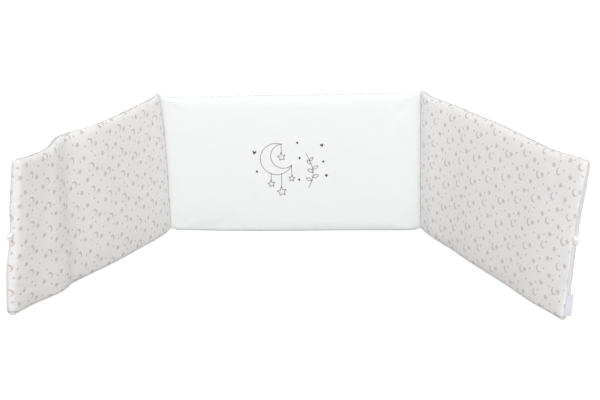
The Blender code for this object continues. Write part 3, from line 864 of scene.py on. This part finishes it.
# ---------------------------------------------------------------------------------------------------------
# The stitched design on the middle pad, a generic one: a crescent moon with stars hung from it and a leafy
# twig in back stitch, with small hearts and berries round them in satin stitch, all in rayon thread. The
# motifs' places are in millimetres from its middle, and their turns in degrees.
DESIGN_ALONG = 0.291  # middle of the design, along the middle pad and up it
DESIGN_UP = 0.168
DESIGN_SCALE = 1.15
BACK_STITCH = Stitch(0.0030, 0.0033, 0.0012, 0.0012, 0.0, 4.0)
DESIGN_LIFT = 0.0003
MAUVE_HEX = "835866"
WINE_HEX = "5C2436"
SATIN_THREAD = 0.0006
SATIN_ARCH = 0.0008
SATIN_OVERLAP = 0.9  # from one satin stitch to the next, as a share of the thread
RAYON_SOCKETS = {"Roughness": 0.35, "Sheen Weight": 0.3}
SEARCH = 0.06  # how far off a cover a line starts that looks for it
DESIGN_WAIST = 0.48  # a star's inner corners, as a share of its radius
LEAF_HALF = 0.24  # half a leaf's width, as a share of its length
LEAF_STEPS = 10
BERRY = 4.6
HungStar = namedtuple("HungStar", "x top bottom size turn")  # top and bottom: of its thread
HUNG_STARS = (HungStar(-16.7, 45.4, 27.0, 8.5, 8.0), HungStar(-39.0, -16.7, -31.0, 7.5, 8.0),
              HungStar(-18.0, -17.7, -46.0, 9.5, 8.0), HungStar(3.2, 0.6, -20.0, 7.0, -6.0))
Leaf = namedtuple("Leaf", "point turn size")  # point: of the twig that it grows from
LEAVES = (Leaf(4, 155.0, 12.0), Leaf(6, 20.0, 13.0), Leaf(9, 150.0, 13.0), Leaf(11, 30.0, 12.0),
          Leaf(14, 140.0, 11.0), Leaf(16, 45.0, 10.0))
Heart = namedtuple("Heart", "x y size turn")
HEARTS = (Heart(-72.0, 28.0, 8.0, -12.0), Heart(66.0, 42.0, 7.0, 10.0), Heart(74.0, -22.0, 6.5, 10.0))
BERRIES = ((18.0, -30.0), (68.0, 8.0), (20.0, 16.0), (-68.0, -12.0), (16.0, 48.0))


def tree_of(cover):
    """A cover as a tree that tells where a line meets it."""
    data = cover.data
    return BVHTree.FromPolygons([vertex.co.copy() for vertex in data.vertices],
                                [tuple(face.vertices) for face in data.polygons])


def turned(points, degrees, x, y):
    """Points turned about the origin and then moved, in the design's millimetres."""
    matrix = Matrix.Rotation(math.radians(degrees), 2)
    return [matrix @ Vector(point) + Vector((x, y)) for point in points]


def arc_points(radius, start, end, x=0.0):
    """Points of an arc round a place on the x axis, between two angles in degrees."""
    steps = max(4, round(abs(end - start) / 8.0))
    angles = [math.radians(start + (end - start) * i / steps) for i in range(steps + 1)]
    return [(x + radius * math.cos(angle), radius * math.sin(angle)) for angle in angles]


def crescent_line(radius, hollow, shift):
    """The outline of a crescent open to the right: an arc, and a smaller one back to its start."""
    tip = math.degrees(math.acos((radius ** 2 + shift ** 2 - hollow ** 2) / (2.0 * radius * shift)))
    tip_height = radius * math.sin(math.radians(tip))
    inner = math.degrees(math.atan2(tip_height, radius * math.cos(math.radians(tip)) - shift))
    return arc_points(radius, tip, 360.0 - tip) + arc_points(hollow, 360.0 - inner, inner, shift)[1:]


def star_line(radius):
    """The outline of a five pointed star, point up."""
    line = []
    for corner in range(11):
        reach = radius if corner % 2 == 0 else radius * DESIGN_WAIST
        angle = math.radians(90.0 + 36.0 * corner)
        line.append((reach * math.cos(angle), reach * math.sin(angle)))
    return line


def leaf_line(length):
    """The outline of a leaf that grows to the right from the origin."""
    shares = [i / LEAF_STEPS for i in range(LEAF_STEPS + 1)]
    upper = [(length * share, LEAF_HALF * length * math.sin(math.pi * share)) for share in shares]
    return upper + [(x, -y) for x, y in reversed(upper[:-1])]


def satin_count(size):
    """How many satin stitches fill a shape of a height in millimetres."""
    return round(size * DESIGN_SCALE / (SATIN_THREAD * 1000.0 * SATIN_OVERLAP))


def heart_rows(size):
    """Satin stitches across a heart, one below another: each a left and a right end. Its upper part is two
    lobes with a cleft between them, and its lower part runs straight to its point."""
    rows = []
    count = satin_count(size)
    for i in range(count):
        y = 0.5 - (i + 0.5) / count
        half = 0.5 * math.sqrt(max(0.0, 1.0 - (2.0 * y - 0.35) ** 2)) if y > 0.1 else 0.49 * (y + 0.5) / 0.6
        cleft = 0.20 - 0.5 * (0.5 - y) if y > 0.28 else 0.0
        for low, high in ((-half, -cleft), (cleft, half)) if cleft > 0.02 else ((-half, half),):
            rows.append(((low * size, y * size), (high * size, y * size)))
    return rows


def berry_rows(size):
    """Satin stitches across a round berry."""
    count = satin_count(size)
    heights = [size * ((i + 0.5) / count - 0.5) for i in range(count)]
    halves = [math.sqrt(size ** 2 / 4.0 - y ** 2) for y in heights]
    return [((-half, y), (half, y)) for half, y in zip(halves, heights)]


def on_middle(place, lift):
    """A point just above the middle pad's front, from a place in the design's millimetres."""
    along = DESIGN_ALONG + DESIGN_SCALE * place[0] / 1000.0
    up = DESIGN_UP + DESIGN_SCALE * place[1] / 1000.0
    target = pad_point(middle, along, up) + middle_inside * SEARCH
    return surfaces["pad_middle"].ray_cast(target, -middle_inside)[0] + middle_inside * lift


surfaces = {name: tree_of(cover) for name, cover in covers.items()}
outlines = [turned(crescent_line(33.0, 25.5, 15.0), 24.0, -27.0, 14.0)]
for star in HUNG_STARS:
    outlines.append([(star.x, star.top), (star.x, star.bottom)])
    outlines.append(turned(star_line(star.size), star.turn, star.x, star.bottom - star.size))
twig = [(38.0 + 9.0 * math.sin(0.045 * step), -46.0 + 0.88 * step) for step in range(0, 81, 4)]
outlines.append(twig)
for leaf in LEAVES:
    outlines.append(turned(leaf_line(leaf.size), leaf.turn, *twig[leaf.point]))
fillings = []
for heart in HEARTS:
    fillings += [turned(row, heart.turn, heart.x, heart.y) for row in heart_rows(heart.size)]
for x, y in BERRIES:
    fillings += [turned(row, 25.0, x, y) for row in berry_rows(BERRY)]

# Rayon embroidery thread: the same twist, smoother, with a soft shine.
mauve_thread = ribbed_material("mauve_rayon_thread", MAUVE_HEX, THREAD_PLIES, RAYON_SOCKETS)
wine_thread = ribbed_material("wine_rayon_thread", WINE_HEX, THREAD_PLIES, RAYON_SOCKETS)
design_lines = [[on_middle(point, DESIGN_LIFT) for point in line] for line in outlines]
design = stitch_along("stitched_outlines", design_lines, BACK_STITCH, middle_inside, mauve_thread)
satin_lines = []
for low, high in fillings:
    satin_lines.append([on_middle(low, -SATIN_THREAD / 2), on_middle((low + high) / 2.0, SATIN_ARCH),
                        on_middle(high, -SATIN_THREAD / 2)])
satin_curves = add_curves("satin_lines", satin_lines)
satin_curves.data.bevel_depth = SATIN_THREAD / 2
satin_curves.data.bevel_resolution = 1
satin_curves.data.use_fill_caps = True
satin_curves.data.materials.append(wine_thread)
satin = as_mesh(satin_curves, "satin_stitches")
for piece in (design, satin):
    piece.data.shade_smooth()
    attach(piece, "root")

# ---------------------------------------------------------------------------------------------------------
# The ties: white cotton tape, caught double in each outer end seam at mid height, knotted close to the pad,
# with both free ends folded away behind it.
TAPE_WIDTH = 0.010
TAPE_THICKNESS = 0.0010
TAPE_HEX = "FAFBFB"
TAPE_POINTS = 5  # across it
TAPE_CUP = 0.0004  # how far its middle stands off its edges
TAPE_HERRINGBONE = Ribs(0.0011, "DIAGONAL", 0.4, 0.93, 0.5, 0.0003)
TAPE_SOCKETS = {"Roughness": 0.85, "Specular IOR Level": 0.3}
KNOT_SIZE = (0.0130, 0.0158, 0.0178)  # out from the pad, across its end and up
KNOT_WRAP = 0.0076  # width of the tape where it is gathered in the knot
KNOT_WRAP_THICKNESS = 0.0060
KNOT_STEPS = 96
KNOT_RING = 20
KNOT_LOBES = 1.55  # how far the three lobes of the knot's path stand out from its ring
KNOT_FLAT_SPAN = 4.857  # the path's spans across and up, in its own units, and where its middle is
KNOT_TALL_SPAN = 4.3
KNOT_TALL_MIDDLE = -0.48
GATHERS = 5  # pleats round the gathered tape, their depth, and their twist to a step
GATHER_DEPTH = 0.05
GATHER_TWIST = 0.1
ROOT_GAP = 0.0007  # from the seam to the knot
ROOT_LAYERS = (-0.6, 0.6)  # in tape thicknesses, from the middle of the seam
ROOT_PLACES = (-0.003, 0.002)  # of the root's first two rows, out from the seam
ROOT_CUP = 0.0003
TAIL_LENGTH = 0.045
TAIL_ROUND = 0.016  # run over which a free end turns to the back, and how far it has turned at its start
TAIL_START = math.radians(12)
TAIL_PIVOT = 0.014  # from the seam in to the line that it turns about
TAIL_STEPS = 28
TAIL_WAVE = 0.0003  # of a free end's slight waves, and radians to a metre of run and of shift
TAIL_WAVE_RUN = 420.0
TAIL_WAVE_SHIFT = 900.0
Tail = namedtuple("Tail", "shift slope clear")  # up from the seat, rise to its run, and off the cloth
TAILS = (Tail(0.003, 0.30, 0.0009), Tail(-0.003, -0.42, 0.0021))
Tie = namedtuple("Tie", "name pad height shift")  # shift: of the knot towards the back
TIES = (Tie("tie_left", PADS[0], 0.525, -0.0032), Tie("tie_right", PADS[2], 0.514, 0.0015))


def end_frame(pad):
    """Ways out of a pad's outer end and to its back, and how far along the pad the end is."""
    way, inside = pad_ways(pad)
    return (-way, -inside, 0.0) if pad.start_shape else (way, -inside, PAD_LENGTH)


def end_seat(pad, up):
    """The place on the seam of a pad's outer end at a height."""
    out, back, along = end_frame(pad)
    seam = from_rows(pad.start_shape or pad.end_shape, up / PAD_HEIGHT, "seam")
    line = pad_point(pad, along, up) - back * seam
    return surfaces[pad.name].ray_cast(line + out * SEARCH, -out)[0]


def add_ribbon(mesh, rows, closed=False):
    """A flat strip in a bmesh, through rows of points across it."""
    made = [[mesh.verts.new(point) for point in row] for row in rows]
    pairs = list(zip(made, made[1:]))
    if closed:
        pairs.append((made[-1], made[0]))
    for low, high in pairs:
        for i in range(len(low) - 1):
            mesh.faces.new((low[i], low[i + 1], high[i + 1], high[i]))


def strip_row(centre, across, facing, cup):
    """Points across a strip, a little cupped towards the way that it faces."""
    row = []
    for i in range(TAPE_POINTS):
        place = i / (TAPE_POINTS - 1) - 0.5
        row.append(centre + across * place + facing * (cup * (1.0 - 4.0 * place * place)))
    return row


def tail_rows(pad, seat, tail):
    """A tie's free end, laid round the back edge of the pad's end and on along its back."""
    out, back, _ = end_frame(pad)
    pivot = seat - out * TAIL_PIVOT
    rows = []
    for i in range(TAIL_STEPS + 1):
        run = TAIL_LENGTH * i / TAIL_STEPS
        turn = min(1.0, run / TAIL_ROUND) * (0.5 * math.pi - TAIL_START) + TAIL_START
        facing = out * math.cos(turn) + back * math.sin(turn)
        target = pivot - out * max(0.0, run - TAIL_ROUND)
        target.z += tail.shift + tail.slope * run
        place = surfaces[pad.name].ray_cast(target + facing * SEARCH, -facing)[0]
        along = back * math.cos(turn) - out * math.sin(turn) + Vector((0.0, 0.0, tail.slope))
        across = facing.cross(along).normalized() * TAPE_WIDTH
        wave = TAIL_WAVE * math.sin(run * TAIL_WAVE_RUN + tail.shift * TAIL_WAVE_SHIFT)
        rows.append(strip_row(place + facing * (tail.clear + wave), across, facing, TAPE_CUP))
    return rows


def knot_rows(centre, axes):
    """The gathered tape of an overhand knot: a flattened tube along a tight trefoil, ring by ring."""
    reach = [size - KNOT_WRAP_THICKNESS for size in KNOT_SIZE]
    path = []
    for i in range(KNOT_STEPS):
        turn = 2.0 * math.pi * i / KNOT_STEPS
        flat = (math.sin(turn) + KNOT_LOBES * math.sin(2.0 * turn)) / KNOT_FLAT_SPAN
        tall = math.cos(turn) - KNOT_LOBES * math.cos(2.0 * turn) - KNOT_TALL_MIDDLE
        deep = -math.sin(3.0 * turn) / 2.0
        path.append(centre + axes[0] * (deep * reach[0]) + axes[1] * (flat * reach[1])
                    + axes[2] * (tall / KNOT_TALL_SPAN * reach[2]))
    rings = []
    for i, place in enumerate(path):
        ahead = (path[(i + 1) % KNOT_STEPS] - path[i - 1]).normalized()
        outward = place - centre
        outward = (outward - ahead * outward.dot(ahead)).normalized()
        across = ahead.cross(outward)
        ring = []
        for j in range(KNOT_RING):
            angle = 2.0 * math.pi * j / KNOT_RING
            gather = 1.0 + GATHER_DEPTH * math.cos(GATHERS * angle + GATHER_TWIST * i)
            ring.append(place + across * (0.5 * KNOT_WRAP * math.cos(angle) * gather)
                        + outward * (0.5 * KNOT_WRAP_THICKNESS * math.sin(angle) * gather))
        rings.append(ring + ring[:1])
    return rings


def solid_strip(name, mesh, thickness, material):
    """A strip's bmesh as an object with its thickness, kept as its own mesh."""
    strip = add_piece(name + "_strip", mesh, [material])
    strip.modifiers.new("softer", "SUBSURF")
    wall = strip.modifiers.new("thickness", "SOLIDIFY")
    wall.thickness = thickness
    wall.offset = 0.0
    return as_mesh(strip, name)


# Herringbone tape: matt white cotton with fine slanting ribs.
tape_material = ribbed_material("cotton_herringbone_tape", TAPE_HEX, TAPE_HERRINGBONE, TAPE_SOCKETS)
for tie in TIES:
    out, back, _ = end_frame(tie.pad)
    height = tie.height * PAD_HEIGHT
    seat = end_seat(tie.pad, height)
    seam_way = (end_seat(tie.pad, height + TAPE_WIDTH) - seat).normalized()
    centre = seat + out * (ROOT_GAP + KNOT_SIZE[0] / 2) + back * tie.shift
    flat = bmesh.new()
    for tail in TAILS:
        add_ribbon(flat, tail_rows(tie.pad, seat, tail))
    for layer in ROOT_LAYERS:
        aside = back * (layer * TAPE_THICKNESS)
        root = [seat + out * place + aside for place in ROOT_PLACES] + [centre]
        add_ribbon(flat, [strip_row(place, seam_way * TAPE_WIDTH, back, ROOT_CUP) for place in root])
    strips = solid_strip(tie.name + "_strips", flat, TAPE_THICKNESS, tape_material)
    tape = bmesh.new()
    add_ribbon(tape, knot_rows(centre, (out, back, seam_way)), closed=True)
    bmesh.ops.remove_doubles(tape, verts=tape.verts, dist=1e-6)
    bmesh.ops.recalc_face_normals(tape, faces=tape.faces)
    tape.from_mesh(strips.data)
    bpy.data.objects.remove(strips)
    tape_tie = add_piece(tie.name + "_tape", tape, [tape_material])
    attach(tape_tie, "root")
    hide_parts(tie.name)

# ---------------------------------------------------------------------------------------------------------
# The care label: a strip of white satin-woven polyester tape, folded in two, caught in the right outer end
# seam just above the floor and turned to the back. It is bare.
LABEL_TALL = 0.046
LABEL_FOOT = 0.012
LABEL_STEPS = 24
LABEL_LAYER = 0.00032  # thickness of the tape
LABEL_GAP = 0.00050  # between the middles of its two layers
LABEL_HEX = "E6E3EC"
LABEL_SATIN = Ribs(0.0008, "Z", 0.0, 0.95, 0.3, 0.0001)
LABEL_SOCKETS = {"Roughness": 0.45, "Anisotropic": 0.4}
LABEL_SWAY = 0.0007  # how far its free edge leans in and out up its height, and over which angles
SWAY_START = 0.6
SWAY_TURN = 5.0
LabelBend = namedtuple("LabelBend", "out back")
LABEL_BENDS = (LabelBend(-0.0025, 0.0000), LabelBend(0.0006, 0.0000), LabelBend(0.0020, 0.0001),
               LabelBend(0.0032, 0.0011), LabelBend(0.0041, 0.0040), LabelBend(0.0050, 0.0085),
               LabelBend(0.0060, 0.0135))


def label_profile():
    """The label's section as (out, back) pairs: along one layer, round the fold and back along the other."""
    places = [Vector(bend) for bend in LABEL_BENDS]
    upper = []
    lower = []
    for i, place in enumerate(places):
        ahead = (places[min(i + 1, len(places) - 1)] - places[max(i - 1, 0)]).normalized()
        aside = Vector((ahead.y, -ahead.x)) * (LABEL_GAP / 2)
        upper.append(place + aside)
        lower.append(place - aside)
    fold = places[-1] + (places[-1] - places[-2]).normalized() * (LABEL_GAP / 2)
    return upper + [fold] + lower[::-1]


right = PADS[2]
out, back, _ = end_frame(right)
label_rows = []
for step in range(LABEL_STEPS + 1):
    share = step / LABEL_STEPS
    seat = end_seat(right, LABEL_FOOT + LABEL_TALL * share)
    row = []
    for place in label_profile():
        free = max(0.0, place[1]) / LABEL_BENDS[-1].back
        sway = LABEL_SWAY * free * math.sin(SWAY_TURN * share + SWAY_START)
        row.append(seat + out * (place[0] + sway) + back * place[1])
    label_rows.append(row)
label_mesh = bmesh.new()
add_ribbon(label_mesh, label_rows)
# Satin-woven polyester tape: smooth and faintly shiny, with very fine lines across, drawn coarser than
# they are, so that they show.
label_material = ribbed_material("satin_label_tape", LABEL_HEX, LABEL_SATIN, LABEL_SOCKETS)
label = solid_strip("folded_label", label_mesh, LABEL_LAYER, label_material)
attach(label, "root")
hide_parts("label")
